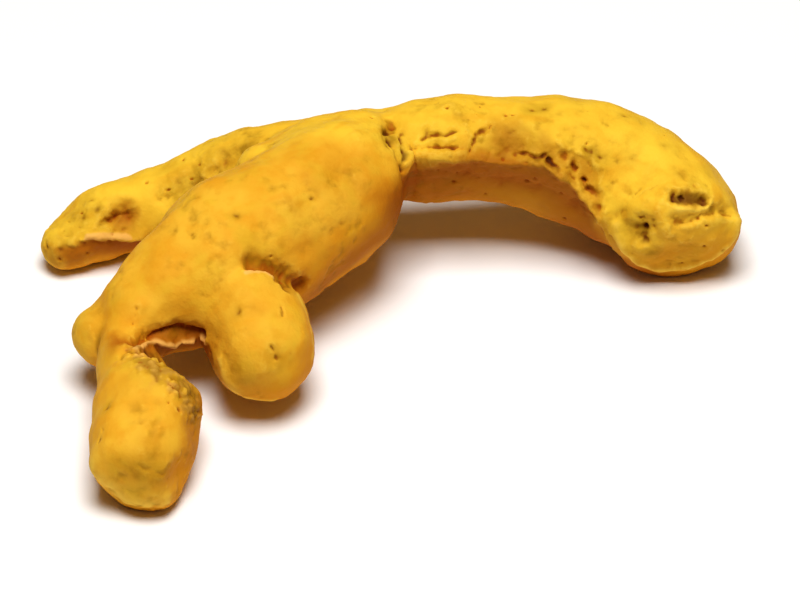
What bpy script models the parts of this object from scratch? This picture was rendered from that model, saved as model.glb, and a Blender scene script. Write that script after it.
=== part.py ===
"""A dried, polished turmeric rhizome, lying on a table.

It grew as one piece, so it is one solid: a bent main finger, with a thick side finger that comes
forward from its middle and ends in a foot lobe, a knob and a small bud. It stands on three worn
spots: under the left tip, under the blunt right end and under the foot lobe.

Each finger is a tube on a smooth curve through a few stations. The tubes are fused by a voxel
remesh, and a formula then raises the lumps, growth rings, scars, ridges and creases of the skin.
X runs from the left tip to the right end, -Y is the front, and the table is at Z = 0.
"""

import math

import bmesh
import bpy
import numpy as np
from mathutils import Vector, noise

MM = 0.001

# Driving sizes, in millimetres
LUMP_SIZE = 9.0
LUMP_HEIGHT = 0.85
BUMP_SIZE = 3.4
BUMP_HEIGHT = 0.32
RING_SPACING = 3.6
RING_HEIGHT = 0.10
VOXEL = 0.36
SMOOTH_ROUNDS = 16
TRIANGLES = 9200
TABLE_BITE = 0.25
# How far in front of the root's middle the stations' own origin lies
MIDDLE_Y = 2.22

# Stations of each finger, in millimetres: x, y, height of the centre line, radius
MAIN_FINGER = [
    (-35.3, 18.2, 3.2, 2.7),
    (-31.5, 20.1, 4.0, 3.9),
    (-26.6, 21.7, 5.3, 4.2),
    (-20.7, 23.1, 7.0, 4.1),
    (-14.0, 23.6, 9.2, 4.5),
    (-6.8, 23.2, 11.0, 4.9),
    (0.0, 22.6, 12.0, 5.4),
    (6.8, 22.7, 12.2, 5.7),
    (13.5, 23.3, 11.6, 6.1),
    (19.1, 23.5, 10.4, 6.7),
    (24.3, 22.8, 8.8, 7.0),
    (28.0, 21.3, 7.5, 7.0),
    (30.1, 18.9, 6.6, 6.9),
    (30.7, 16.5, 6.1, 6.8),
]
SIDE_FINGER = [
    (-0.5, 21.9, 12.0, 5.0),
    (-5.4, 16.5, 12.2, 7.6),
    (-11.2, 10.0, 11.6, 8.1),
    (-17.3, 5.4, 10.6, 8.0),
    (-22.5, 1.6, 9.6, 6.8),
    (-25.9, -1.5, 8.6, 5.0),
]
FOOT_LOBE = [
    (-26.0, -2.0, 8.4, 3.8),
    (-26.9, -6.3, 7.9, 4.0),
    (-26.1, -11.0, 7.1, 5.4),
    (-25.6, -16.2, 6.4, 6.1),
    (-25.6, -20.6, 5.8, 6.0),
    (-25.7, -23.0, 5.2, 5.3),
]
KNOB_LOBE = [
    (-17.0, 5.0, 10.4, 5.6),
    (-15.2, 0.2, 9.2, 5.9),
    (-13.5, -3.8, 7.7, 5.7),
    (-13.0, -5.8, 7.0, 5.5),
]
SIDE_BUD = [
    (-24.0, 1.0, 8.4, 3.4),
    (-27.6, -1.0, 7.4, 3.8),
    (-29.8, -2.4, 6.6, 3.7),
]
# How far each finger's end bulges, as a share of its radius: the main finger and the foot are blunt
FINGERS = [(MAIN_FINGER, 0.45), (SIDE_FINGER, 0.9), (FOOT_LOBE, 0.45), (KNOB_LOBE, 0.85), (SIDE_BUD, 0.9)]
START_BULGE = 0.8

# Hollows left by buds and rootlets, in millimetres: centre, radius, depth
SCARS = [
    ((-29.2, 18.2, 6.5), 1.5, 0.9),
    ((-34.4, 16.3, 4.4), 0.9, 0.4),
    ((26.0, 13.5, 8.0), 1.9, 0.5),
    ((-10.6, 0.8, 11.5), 1.4, 0.7),
    ((12.3, 19.2, 16.0), 2.4, 0.5),
    ((-21.2, 20.7, 10.0), 1.6, 0.35),
    ((-24.3, -22.3, 11.0), 1.2, 0.35),
    ((-12.4, -9.1, 10.8), 1.3, 0.4),
]

# Ridges stand up from the skin and creases go down into it, in millimetres: points, width, height
TORN_RIDGE = [
    (2.2, 17.2, 15.5),
    (6.2, 17.2, 15.3),
    (10.5, 17.5, 14.4),
    (15.7, 17.5, 13.6),
    (20.3, 16.9, 11.2),
    (22.4, 15.6, 9.0),
]
SHRUNKEN_BAND = [(3.0, 16.6, 12.0), (8.0, 17.0, 11.8), (14.0, 17.3, 11.0), (19.0, 17.2, 9.4)]
ROOT_RING = [(0.3, 21.4, 16.7), (0.1, 18.8, 16.7), (0.8, 16.9, 16.2), (1.3, 15.7, 14.8), (1.3, 14.7, 12.7)]
KNOB_CREASE = [(-13.6, 0.9, 14.5), (-12.8, 0.8, 13.7), (-11.7, 1.0, 12.2), (-9.1, 1.8, 10.0)]
FORK_CREASE = [(-25.5, -8.2, 11.9), (-24.3, -5.4, 11.1), (-22.5, -4.4, 11.3), (-20.3, -4.2, 9.8)]
FORK_LIP = [(-25.2, -9.4, 11.7), (-24.1, -8.4, 11.0), (-22.5, -6.2, 9.0), (-19.9, -4.5, 8.0)]
TIP_LIP = [(-33.9, 16.2, 5.0), (-30.9, 16.3, 5.2), (-26.9, 17.0, 5.2)]
FOOT_EDGE = [(-27.2, -25.7, 7.4), (-24.1, -25.8, 7.3), (-21.4, -24.6, 6.7)]
END_SLOT = [(30.4, 13.9, 12.4), (33.2, 14.5, 11.9)]
END_SLIT = [(27.1, 13.3, 9.8), (26.9, 13.2, 8.0)]
END_RIM = [(25.4, 14.4, 4.4), (28.7, 15.0, 2.2), (31.7, 14.8, 2.5), (34.4, 15.3, 3.3), (36.4, 15.6, 6.0)]
STROKES = [
    (TORN_RIDGE, 1.1, 0.6),
    (SHRUNKEN_BAND, 2.6, -0.9),
    (ROOT_RING, 0.9, -0.8),
    (KNOB_CREASE, 1.1, -0.9),
    (FORK_CREASE, 0.8, -0.9),
    (FORK_LIP, 0.8, 0.9),
    (TIP_LIP, 0.8, 0.5),
    (FOOT_EDGE, 0.7, -0.35),
    (END_SLOT, 0.9, -1.2),
    (END_SLIT, 0.7, -0.9),
    (END_RIM, 0.8, 0.4),
]

# Rough patches, in millimetres: centre, radius, height of the grain
ROUGH_PATCHES = [
    ((-22.4, -15.0, 11.8), 4.5, 0.40),
    ((-33.0, 17.8, 5.5), 4.5, 0.30),
    ((30.5, 13.5, 8.0), 6.0, 0.22),
    ((-20.0, 20.5, 10.0), 5.0, 0.22),
    ((10.0, 18.0, 15.0), 7.0, 0.30),
]
GRAIN_SIZE = 1.7


def catmull_rom(stations, spacing=0.8):
    """Rows of a smooth curve through the stations, about one spacing apart."""
    rows = np.array(stations, float)
    rows = np.vstack([2 * rows[0] - rows[1], rows, 2 * rows[-1] - rows[-2]])
    path = []
    for a, b, c, d in zip(rows, rows[1:], rows[2:], rows[3:]):
        count = max(2, math.ceil(np.linalg.norm((c - b)[:3]) / spacing))
        for t in np.arange(count) / count:
            bend = (2 * a - 5 * b + 4 * c - d) * t**2 + (3 * b - 3 * c + d - a) * t**3
            path.append(0.5 * (2 * b + (c - a) * t + bend))
    return np.array([*path, rows[-2]])


def rounded_end(last, before, bulge, steps=8):
    """Rows that carry a path on past its last row, over a rounded end."""
    along = (last - before)[:3]
    along /= np.linalg.norm(along)
    rim = 0.5 + 0.5 * bulge
    angles = np.linspace(0, math.radians(87), steps)[1:]
    centre, radius = last[:3], last[3]
    return [[*(centre + along * radius * bulge * math.sin(t)), radius * math.cos(t) ** rim] for t in angles]


def finger_path(stations, bulge):
    path = catmull_rom(stations)
    start = rounded_end(path[0], path[2], START_BULGE)
    end = rounded_end(path[-1], path[-3], bulge)
    return np.array([*reversed(start), *path, *end])


def evaluated_mesh(obj):
    graph = bpy.context.evaluated_depsgraph_get()
    return bpy.data.meshes.new_from_object(obj.evaluated_get(graph))


def tube(name, path):
    """A closed tube mesh along the path, with the path's own radius at every point."""
    curve = bpy.data.curves.new(name, "CURVE")
    curve.dimensions = "3D"
    curve.bevel_depth = MM
    curve.bevel_resolution = 8
    curve.use_fill_caps = True
    spline = curve.splines.new("POLY")
    spline.points.add(len(path) - 1)
    for point, (x, y, z, radius) in zip(spline.points, path):
        point.co = (x * MM, y * MM, z * MM, 1)
        point.radius = radius
    guide = bpy.data.objects.new(name, curve)
    bpy.context.scene.collection.objects.link(guide)
    mesh = evaluated_mesh(guide)
    bpy.data.objects.remove(guide)
    return mesh


def fused(paths):
    """One closed mesh from all the tubes, with soft creases where the fingers meet."""
    gathered = bmesh.new()
    for number, path in enumerate(paths):
        gathered.from_mesh(tube(f"finger_guide_{number}", path))
    bmesh.ops.remove_doubles(gathered, verts=gathered.verts, dist=0.01 * MM)
    mesh = bpy.data.meshes.new("fingers")
    gathered.to_mesh(mesh)
    gathered.free()
    work = bpy.data.objects.new("fingers", mesh)
    bpy.context.scene.collection.objects.link(work)
    remesh = work.modifiers.new("fuse", "REMESH")
    remesh.mode = "VOXEL"
    remesh.voxel_size = VOXEL * MM
    soften = work.modifiers.new("soften", "SMOOTH")
    soften.factor = 0.5
    soften.iterations = SMOOTH_ROUNDS
    result = evaluated_mesh(work)
    bpy.data.objects.remove(work)
    return result


def noise_at(points, size, seed):
    offset = Vector((seed * 7.3, seed * 3.1, seed * 5.7))
    return np.array([noise.noise(Vector(point) / size + offset) for point in points])


def ring_phase(points, paths):
    """How many growth rings lie between the start of its finger and each point."""
    shares, phases = [], []
    for number, path in enumerate(paths):
        steps = np.linalg.norm(np.diff(path[:, :3], axis=0), axis=1)
        lengths = np.concatenate([[0], np.cumsum(steps)])
        gaps = np.linalg.norm(points[:, None, :] - path[None, :, :3], axis=2) / np.maximum(path[:, 3], 1.5)
        shares.append(gaps.min(axis=1))
        phases.append(lengths[gaps.argmin(axis=1)] / RING_SPACING + 0.37 * number)
    finger = np.argmin(shares, axis=0)
    return np.array(phases)[finger, np.arange(len(points))]


def distance_to_line(points, line):
    """Distance of each point from a line of short straight pieces."""
    best = np.full(len(points), np.inf)
    for a, b in zip(np.array(line), np.array(line[1:])):
        share = np.clip((points - a) @ (b - a) / ((b - a) @ (b - a)), 0, 1)
        best = np.minimum(best, np.linalg.norm(points - a - share[:, None] * (b - a), axis=1))
    return best


def relief(points, paths):
    """Height of the skin above the smooth fingers at each point, in millimetres."""
    height = LUMP_HEIGHT * noise_at(points, LUMP_SIZE, 1)
    height += BUMP_HEIGHT * noise_at(points, BUMP_SIZE, 2)
    phase = ring_phase(points, paths) + 0.5 * noise_at(points, 2 * LUMP_SIZE, 3)
    height += RING_HEIGHT * (np.abs(np.sin(math.pi * phase)) ** 0.6 - 0.75)
    for centre, radius, depth in SCARS:
        ratio = np.linalg.norm(points - np.array(centre), axis=1) / radius
        height += depth * (0.3 * np.exp(-((ratio - 1.3) ** 2) / 0.15) - np.exp(-(ratio**2) / 0.8))
    for line, width, size in STROKES:
        height += size * np.exp(-((distance_to_line(points, line) / width) ** 2))
    grain = noise_at(points, GRAIN_SIZE, 4)
    for centre, radius, size in ROUGH_PATCHES:
        ratio = np.linalg.norm(points - np.array(centre), axis=1) / radius
        height += size * grain * np.exp(-(ratio**4))
    return height


def raise_relief(mesh, paths):
    count = len(mesh.vertices)
    points, normals = np.empty(count * 3), np.empty(count * 3)
    mesh.vertices.foreach_get("co", points)
    mesh.vertices.foreach_get("normal", normals)
    points, normals = points.reshape(-1, 3) / MM, normals.reshape(-1, 3)
    raised = points + normals * relief(points, paths)[:, None]
    mesh.vertices.foreach_set("co", (raised * MM).ravel())
    mesh.update()


def thinned(mesh):
    """The mesh with about TRIANGLES triangles, which gather where the relief is."""
    work = bpy.data.objects.new("thinning", mesh)
    bpy.context.scene.collection.objects.link(work)
    decimate = work.modifiers.new("thin", "DECIMATE")
    decimate.ratio = TRIANGLES / sum(len(face.vertices) - 2 for face in mesh.polygons)
    decimate.use_collapse_triangulate = True
    result = evaluated_mesh(work)
    bpy.data.objects.remove(work)
    return result


def set_down(mesh):
    """Wears the lowest spots flat at the table, and brings the root's middle over the origin."""
    body = bmesh.new()
    body.from_mesh(mesh)
    everything = [*body.verts, *body.edges, *body.faces]
    plane = {"plane_co": (0, 0, TABLE_BITE * MM), "plane_no": (0, 0, 1)}
    cut = bmesh.ops.bisect_plane(body, geom=everything, clear_inner=True, **plane)
    rim = [item for item in cut["geom_cut"] if isinstance(item, bmesh.types.BMEdge)]
    bmesh.ops.holes_fill(body, edges=rim, sides=0)
    bmesh.ops.recalc_face_normals(body, faces=body.faces)
    bmesh.ops.translate(body, verts=body.verts, vec=(0, -MIDDLE_Y * MM, -TABLE_BITE * MM))
    body.to_mesh(mesh)
    body.free()


def turmeric_material():
    material = bpy.data.materials.new("polished_turmeric")
    material.use_nodes = True
    shader = material.node_tree.nodes["Principled BSDF"]
    shader.inputs["Base Color"].default_value = (0.83, 0.44, 0.035, 1)
    shader.inputs["Roughness"].default_value = 0.62
    shader.inputs["Metallic"].default_value = 0
    return material


def main():
    for obj in list(bpy.data.objects):
        bpy.data.objects.remove(obj)
    paths = [finger_path(stations, bulge) for stations, bulge in FINGERS]
    skin = fused(paths)
    raise_relief(skin, paths)
    mesh = thinned(skin)
    set_down(mesh)
    mesh.materials.clear()
    mesh.materials.append(turmeric_material())
    mesh.shade_smooth()
    mesh.name = "turmeric_root"
    collection = bpy.data.collections.new("turmeric root")
    bpy.context.scene.collection.children.link(collection)
    collection.objects.link(bpy.data.objects.new("turmeric_root", mesh))


main()
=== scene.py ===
"""The looks of a dried, polished turmeric root that lies on a pale table.

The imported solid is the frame. One finely modelled root takes its place: the same fingers, fused
at a finer grain, with the lumps, scars, cracks, pits and wrinkles of the real skin as geometry.
"""

import math

import bmesh
import bpy
import numpy as np
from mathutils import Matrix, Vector, noise


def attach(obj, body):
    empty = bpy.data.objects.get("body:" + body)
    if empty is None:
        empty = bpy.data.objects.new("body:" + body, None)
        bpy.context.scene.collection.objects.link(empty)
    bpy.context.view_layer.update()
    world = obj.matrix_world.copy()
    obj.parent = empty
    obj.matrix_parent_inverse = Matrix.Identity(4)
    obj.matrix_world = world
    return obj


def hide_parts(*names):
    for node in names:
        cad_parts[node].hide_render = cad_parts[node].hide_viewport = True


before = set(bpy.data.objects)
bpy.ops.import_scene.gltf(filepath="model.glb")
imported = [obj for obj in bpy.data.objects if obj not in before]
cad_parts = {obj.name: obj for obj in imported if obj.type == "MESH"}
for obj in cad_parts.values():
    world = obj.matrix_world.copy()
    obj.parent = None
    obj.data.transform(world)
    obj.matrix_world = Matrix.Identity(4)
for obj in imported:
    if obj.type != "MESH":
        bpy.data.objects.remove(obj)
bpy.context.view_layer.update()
MM = 0.001

# The camera
# It looks down on the root from the side and the height that the photograph was taken from, and
# closer in, so that the whole root fills the picture.
CAMERA_ELEVATION = math.radians(38)
CAMERA_DISTANCE = 930 * MM
PICTURE_WIDTH = 85.5 * MM
SENSOR_WIDTH = 36
AIM = Vector((1.1, 10.2, -0.25)) * MM

camera = bpy.data.objects.new("camera", bpy.data.cameras.new("camera"))
bpy.context.scene.collection.objects.link(camera)
camera.data.sensor_width = SENSOR_WIDTH
camera.data.lens = SENSOR_WIDTH * CAMERA_DISTANCE / PICTURE_WIDTH
camera.data.clip_start = 10 * MM
to_camera = Vector((0, -math.cos(CAMERA_ELEVATION), math.sin(CAMERA_ELEVATION)))
camera.location = AIM + CAMERA_DISTANCE * to_camera
camera.rotation_euler = (math.pi / 2 - CAMERA_ELEVATION, 0, 0)
bpy.context.scene.camera = camera

# The table and the light
# A wide white sheet, lit by one large soft lamp overhead and by pale walls all round. Neither is
# part of the root.
TABLE_SIZE = 4.0
LAMP_SIZE = 0.30
LAMP_PLACE = Vector((0.0, -0.10, 0.55))
LAMP_POWER = 3.25
WALL_BRIGHTNESS = 0.09
WALL_COLOUR = (1.0, 0.72, 0.45, 1)
SHEET_WHITE = (0.92, 0.92, 0.92, 1)
SHEET_ROUGHNESS = 0.8

table_mesh = bpy.data.meshes.new("table")
plan = bmesh.new()
bmesh.ops.create_grid(plan, x_segments=1, y_segments=1, size=TABLE_SIZE / 2)
plan.to_mesh(table_mesh)
plan.free()
table = bpy.data.objects.new("table", table_mesh)
bpy.context.scene.collection.objects.link(table)
sheet = bpy.data.materials.new("white sheet")
sheet.use_nodes = True
paper = sheet.node_tree.nodes["Principled BSDF"]
paper.inputs["Base Color"].default_value = SHEET_WHITE
paper.inputs["Roughness"].default_value = SHEET_ROUGHNESS
table_mesh.materials.append(sheet)

lamp = bpy.data.objects.new("lamp", bpy.data.lights.new("lamp", "AREA"))
bpy.context.scene.collection.objects.link(lamp)
lamp.data.size = LAMP_SIZE
lamp.data.energy = LAMP_POWER
lamp.location = LAMP_PLACE
lamp.rotation_euler = (-LAMP_PLACE).to_track_quat("-Z", "Y").to_euler()

walls = bpy.data.worlds.new("pale walls")
walls.use_nodes = True
glow = walls.node_tree.nodes["Background"]
glow.inputs["Color"].default_value = WALL_COLOUR
glow.inputs["Strength"].default_value = WALL_BRIGHTNESS
bpy.context.scene.world = walls
bpy.context.scene.view_settings.view_transform = "Standard"
bpy.context.scene.view_settings.look = "Medium High Contrast"

# The fingers
# The root grew as one branched piece. Each finger is a round stem through a few stations, and
# all of them are fused with soft creases. Stations are in millimetres: x, y, height, radius.
MAIN_FINGER = [
    (-35.3, 18.2, 3.2, 2.7),
    (-31.5, 20.1, 4.0, 3.9),
    (-26.6, 21.7, 5.3, 4.2),
    (-20.7, 23.1, 7.0, 4.1),
    (-14.0, 23.6, 9.2, 4.5),
    (-6.8, 23.2, 11.0, 4.9),
    (0.0, 22.6, 12.0, 5.4),
    (6.8, 22.7, 12.2, 5.7),
    (13.5, 23.3, 11.6, 6.1),
    (19.1, 23.5, 10.4, 6.7),
    (24.3, 22.8, 8.8, 7.0),
    (28.0, 21.3, 7.5, 7.0),
    (30.1, 18.9, 6.6, 6.9),
    (30.7, 16.5, 6.1, 6.8),
]
SIDE_FINGER = [
    (-0.5, 21.9, 12.0, 5.0),
    (-5.4, 16.5, 12.2, 7.6),
    (-11.2, 10.0, 11.6, 8.1),
    (-17.3, 5.4, 10.6, 8.0),
    (-22.5, 1.6, 9.6, 6.8),
    (-25.9, -1.5, 8.6, 5.0),
]
FOOT_LOBE = [
    (-26.0, -2.0, 8.4, 3.8),
    (-27.6, -6.5, 7.9, 3.1),
    (-26.6, -10.4, 7.0, 4.6),
    (-25.4, -13.2, 6.7, 5.6),
    (-24.8, -16.4, 6.3, 5.6),
    (-25.6, -20.2, 5.3, 5.6),
    (-26.3, -22.7, 4.8, 5.0),
]
KNOB_LOBE = [
    (-17.0, 5.0, 10.4, 5.6),
    (-15.2, 0.2, 9.2, 5.9),
    (-13.5, -3.8, 7.7, 5.7),
    (-13.0, -5.8, 7.0, 5.5),
]
SIDE_BUD = [
    (-24.0, 1.0, 8.4, 3.4),
    (-27.6, -1.0, 7.4, 3.8),
    (-29.8, -2.4, 6.6, 3.7),
]
FRONT_WEB = [(-12.0, 16.8, 11.7, 5.3), (-7.4, 18.6, 12.1, 6.4), (-3.0, 20.6, 12.2, 6.1)]
BACK_WEB = [(-10.4, 20.8, 11.0, 4.5), (-6.5, 21.4, 11.6, 5.3), (-2.0, 22.0, 12.1, 5.6)]
# Each with the length of its rounded end, as a share of its radius
FINGERS = [
    (MAIN_FINGER, 0.45),
    (SIDE_FINGER, 0.9),
    (FOOT_LOBE, 0.45),
    (KNOB_LOBE, 0.85),
    (SIDE_BUD, 0.9),
    (FRONT_WEB, 0.8),
    (BACK_WEB, 0.8),
]
START_BULGE = 0.8
PATH_SPACING = 0.8
END_STEPS = 8
STEM_FACETS = 10
WELD_GAP = 0.01
GRAIN = 0.17
SOFTENING = 1.45


def finger_path(stations, bulge):
    """Rows along a smooth curve through the stations, carried on over a rounded end."""
    rows = np.array(stations, float)
    rows = np.vstack([2 * rows[0] - rows[1], rows, 2 * rows[-1] - rows[-2]])
    path = []
    for a, b, c, d in zip(rows, rows[1:], rows[2:], rows[3:]):
        count = max(2, math.ceil(np.linalg.norm((c - b)[:3]) / PATH_SPACING))
        for t in np.arange(count) / count:
            bend = (2 * a - 5 * b + 4 * c - d) * t**2 + (3 * b - 3 * c + d - a) * t**3
            path.append(0.5 * (2 * b + (c - a) * t + bend))
    path = np.array([*path, rows[-2]])
    start = rounded_end(path[0], path[2], START_BULGE)
    end = rounded_end(path[-1], path[-3], bulge)
    return np.array([*reversed(start), *path, *end])


def rounded_end(last, before, bulge):
    """Rows that carry a path on past its last row and narrow to almost nothing."""
    along = (last - before)[:3]
    along /= np.linalg.norm(along)
    rim = 0.5 + 0.5 * bulge
    angles = np.linspace(0, math.radians(87), END_STEPS)[1:]
    centre, radius = last[:3], last[3]
    return [[*(centre + along * radius * bulge * math.sin(t)), radius * math.cos(t) ** rim] for t in angles]


def as_mesh(obj):
    """The object's mesh as its modifiers leave it. The object itself is removed."""
    mesh = bpy.data.meshes.new_from_object(obj.evaluated_get(bpy.context.evaluated_depsgraph_get()))
    bpy.data.objects.remove(obj)
    return mesh


def placed(name, data):
    """A new object of the scene."""
    obj = bpy.data.objects.new(name, data)
    bpy.context.scene.collection.objects.link(obj)
    return obj


def stem(path):
    """A closed round stem along the path."""
    curve = bpy.data.curves.new("stem", "CURVE")
    curve.dimensions = "3D"
    curve.bevel_depth = MM
    curve.bevel_resolution = STEM_FACETS
    curve.use_fill_caps = True
    spline = curve.splines.new("POLY")
    spline.points.add(len(path) - 1)
    for point, (x, y, z, radius) in zip(spline.points, path):
        point.co = (x * MM, y * MM, z * MM, 1)
        point.radius = radius
    return as_mesh(placed("stem", curve))


paths = [finger_path(stations, bulge) for stations, bulge in FINGERS]
gathered = bmesh.new()
for path in paths:
    gathered.from_mesh(stem(path))
bmesh.ops.remove_doubles(gathered, verts=gathered.verts, dist=WELD_GAP * MM)
stems = bpy.data.meshes.new("stems")
gathered.to_mesh(stems)
gathered.free()

fused = placed("fused", stems)
fuse = fused.modifiers.new("fuse", "REMESH")
fuse.mode = "VOXEL"
fuse.voxel_size = GRAIN * MM
soften = fused.modifiers.new("soften", "SMOOTH")
soften.factor = 0.5
soften.iterations = round((SOFTENING / GRAIN) ** 2)
skin = as_mesh(fused)

# The lie of the skin
# The skin shrank as the root dried, so it is lumpy. The lumps are broad, with small bumps on them.
# Its places are also shifted by finer noise, so that what is drawn on it has ragged, frayed edges.
LUMP_SIZE = 9.0
LUMP_HEIGHT = 0.85
BUMP_SIZE = 3.4
BUMP_HEIGHT = 0.32
RAGGED_SIZE = 1.2
RAGGED_SHIFT = 0.30
FRAYED_SIZE = 0.5
FRAYED_SHIFT = 0.12
BROKEN_SIZE = 0.9


def noise_at(points, size, seed):
    """Smooth noise between -1 and 1 at each point."""
    offset = Vector((seed * 7.3, seed * 3.1, seed * 5.7))
    return np.array([noise.noise(Vector(point) / size + offset) for point in points])


def vectors(mesh, name):
    """The place or the normal of each of the mesh's points."""
    values = np.empty(len(mesh.vertices) * 3)
    mesh.vertices.foreach_get(name, values)
    return values.reshape(-1, 3)


base = vectors(skin, "co") / MM
normals = vectors(skin, "normal")
height = LUMP_HEIGHT * noise_at(base, LUMP_SIZE, 1) + BUMP_HEIGHT * noise_at(base, BUMP_SIZE, 2)
ragged = RAGGED_SHIFT * np.stack([noise_at(base, RAGGED_SIZE, seed) for seed in (11, 12, 13)], axis=1)
frayed = FRAYED_SHIFT * np.stack([noise_at(base, FRAYED_SIZE, seed) for seed in (14, 15, 16)], axis=1)
broken = noise_at(base, BROKEN_SIZE, 17)
points = base + normals * height[:, None]

# The scars
# Places where rootlets and side fingers broke off, where the skin tore, and where it sank in. Each
# is drawn along a line or round a spot, and its edges are frayed.
UP = np.array((0.0, -0.3, 0.95))
UP_RIGHT = np.array((0.45, -0.3, 0.84))
UP_AND_BACK = np.array((0.45, 0.15, 0.88))
DOWN = np.array((0.0, -0.6, -0.8))
SKIN_DEPTH = 1.0

# Broad ridges and creases: points, width, height
TORN_RIDGE = [
    (2.2, 17.2, 15.5),
    (6.2, 17.2, 15.3),
    (10.5, 17.5, 14.4),
    (15.7, 17.5, 13.6),
    (20.3, 16.9, 11.2),
    (22.4, 15.6, 9.0),
]
SHRUNKEN_BAND = [(3.0, 16.6, 12.0), (8.0, 17.0, 11.8), (14.0, 17.3, 11.0), (19.0, 17.2, 9.4)]
ROOT_RING = [(0.2, 20.8, 16.9), (-0.2, 17.6, 17.3), (0.8, 16.2, 16.0), (1.4, 15.2, 13.6)]
KNOB_CREASE = [(-14.6, -0.6, 14.7), (-13.2, -0.1, 14.0), (-11.9, 0.3, 12.8), (-9.4, 1.2, 10.6)]
FORK_CREASE = [
    (-26.4, -8.6, 11.1),
    (-25.4, -6.0, 9.7),
    (-22.9, -4.8, 9.7),
    (-21.2, -4.0, 9.2),
    (-19.8, -4.4, 8.6),
]
END_RIM = [
    (24.1, 14.8, 8.3),
    (25.0, 13.8, 5.6),
    (26.6, 13.9, 3.8),
    (28.7, 14.4, 2.5),
    (31.7, 14.3, 2.9),
    (34.4, 14.5, 3.9),
    (36.2, 14.7, 5.8),
    (36.9, 16.2, 8.3),
]
SLOT_LIP = [
    (29.9, 14.0, 11.3),
    (30.9, 14.0, 11.1),
    (31.8, 14.0, 10.9),
    (32.7, 14.1, 10.7),
    (33.9, 15.0, 11.0),
]
END_VALLEY = [(32.9, 13.8, 10.4), (34.1, 14.5, 10.3), (35.0, 15.1, 10.0), (35.9, 15.6, 9.4)]
KNOB_RIM = [(-18.0, -9.0, 8.6), (-16.5, -10.1, 6.2), (-14.7, -9.6, 4.2), (-12.3, -9.4, 3.8)]
KNOB_SIDE = [
    (-9.6, -1.4, 11.5),
    (-8.8, -2.4, 10.2),
    (-8.3, -3.8, 9.3),
    (-8.0, -5.4, 8.4),
    (-8.0, -6.3, 7.1),
]
FOOT_RIM = [
    (-30.5, -23.2, 6.2),
    (-29.8, -24.4, 4.6),
    (-27.2, -24.8, 3.0),
    (-25.4, -25.0, 2.7),
    (-23.5, -25.2, 3.1),
]
RIDGE_EDGE = [
    (16.4, 17.5, 14.3),
    (18.2, 17.1, 13.3),
    (20.2, 16.9, 11.9),
    (21.4, 16.2, 10.2),
    (22.3, 15.6, 8.8),
]
FOLDS = [
    (TORN_RIDGE, 1.1, 0.55),
    (SHRUNKEN_BAND, 2.6, -0.9),
    (ROOT_RING, 0.8, -0.55),
    (KNOB_CREASE, 1.0, -0.8),
    (FORK_CREASE, 0.8, -1.0),
    (END_RIM, 0.6, 0.35),
    (KNOB_RIM, 0.6, 0.22),
    (FOOT_RIM, 1.2, 0.2),
    (SLOT_LIP, 0.4, 0.28),
    (END_VALLEY, 0.8, -0.35),
    ([(28.9, 14.0, 11.7), (29.1, 13.3, 10.7), (29.6, 12.7, 8.9)], 0.7, 0.35),
    ([(3.0, 18.4, 16.5), (5.0, 18.5, 16.8), (7.0, 18.6, 16.9)], 0.45, 0.25),
    (RIDGE_EDGE, 0.5, 0.35),
]

# Pale rims, partly rubbed wear and partly a painted highlight along each: points, reach
PALE_EDGES = [(END_RIM, 0.4), (KNOB_RIM, 0.4), (KNOB_SIDE, 0.35), (FOOT_RIM, 1.1), (SLOT_LIP, 0.4)]
PALE_EDGE_SHARE = 0.8

# Soft hollows: centre, radius, depth
HOLLOWS = [
    ((-28.5, 18.3, 6.9), 1.5, 0.9),
    ((-29.9, 18.0, 6.8), 0.8, 0.5),
    ((-34.6, 19.8, 6.4), 3.0, 0.7),
    ((-32.4, 18.3, 7.4), 0.8, 0.2),
    ((-24.0, 19.2, 8.2), 1.1, 0.3),
    ((-21.2, 20.4, 9.7), 1.3, 0.35),
    ((-18.6, 20.3, 10.9), 1.1, 0.3),
    ((-16.8, 20.9, 12.4), 1.7, 0.7),
    ((26.6, 13.8, 8.5), 1.9, 1.1),
    ((31.2, 13.0, 9.2), 1.4, 0.45),
    ((12.8, 19.2, 16.1), 2.1, 0.5),
    ((4.6, 18.3, 16.6), 1.3, 0.3),
    ((32.3, 16.0, 12.7), 0.6, 0.35),
    ((-10.9, -0.9, 12.8), 1.1, 0.6),
    ((-9.8, 1.6, 10.2), 1.2, 0.6),
    ((-14.6, 0.2, 15.6), 0.8, 0.2),
    ((-24.5, -22.4, 10.8), 1.0, 0.2),
    ((-5.8, 11.0, 18.8), 1.8, 0.25),
    ((-12.1, -9.8, 9.9), 1.0, 0.25),
    ((-22.2, -10.8, 9.6), 3.2, 1.6),
    ((-20.9, -24.2, 4.8), 2.6, 1.2),
]

# Bare skin, which the polishing drum didn't reach, on the far side of a torn edge. Under the arch
# it is also painted shade on the arch's underside
ARCH_EDGE = [
    (1.6, 16.4, 14.3),
    (5.6, 17.2, 15.0),
    (8.9, 17.4, 14.6),
    (11.7, 17.6, 14.2),
    (13.5, 17.4, 14.1),
    (15.3, 17.5, 14.1),
    (17.5, 17.1, 13.3),
    (18.9, 16.7, 12.4),
    (20.0, 16.4, 11.1),
    (21.2, 15.9, 9.9),
    (22.3, 15.5, 8.7),
    (23.0, 15.7, 6.9),
    (24.0, 16.2, 4.6),
]
BARE_EDGE = [
    (1.6, 16.4, 14.3),
    (5.6, 16.8, 15.2),
    (7.8, 17.2, 15.6),
    (9.6, 18.2, 15.9),
    (11.6, 18.6, 15.6),
    (14.3, 18.1, 15.2),
    (17.0, 17.4, 14.6),
    (19.2, 17.0, 13.2),
    (20.6, 16.5, 11.6),
    (22.3, 15.8, 9.2),
    (23.0, 15.7, 6.9),
    (24.0, 16.2, 4.6),
]
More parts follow.
